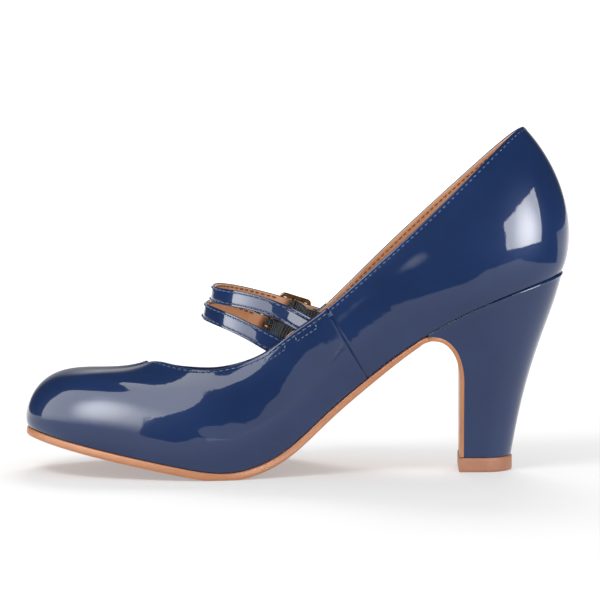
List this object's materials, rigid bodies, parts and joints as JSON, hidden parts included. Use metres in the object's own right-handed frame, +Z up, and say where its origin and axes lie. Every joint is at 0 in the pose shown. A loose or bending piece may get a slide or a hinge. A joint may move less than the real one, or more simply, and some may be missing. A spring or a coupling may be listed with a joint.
{
  "type": "mary jane pump",
  "caption": "Right-foot round-toe patent pump with a high curved heel, low-cut throat and two buckled instep straps.",
  "frame": {"origin": "middle of the shoe's footprint box, on the floor that it stands on", "axes": "+X from toe to heel, +Y from the medial to the lateral side, +Z up"},
  "size_m": [0.2282, 0.0796, 0.1445],
  "materials": {
    "patent": "navy patent, high gloss",
    "patent_heel": "navy patent over a moulded heel, high gloss",
    "patent_strap": "navy patent, high gloss",
    "lining": "tan lining leather, matt",
    "sole": "tan sole leather with a burnished edge",
    "top_piece": "tan top piece, satin",
    "elastic": "black ribbed elastic, matt",
    "brass": "antique brass, satin"
  },
  "bodies": {
    "root": {"upper": "patent", "insole": "lining", "outsole": "sole", "heel": "patent_heel", "heel_tip": "top_piece", "strap_back": "patent_strap", "strap_front": "patent_strap", "elastic_back": "elastic", "elastic_front": "elastic", "buckle_frame_back": "brass", "buckle_frame_front": "brass", "buckle_prong_back": "brass", "buckle_prong_front": "brass"}
  },
  "joints": []
}
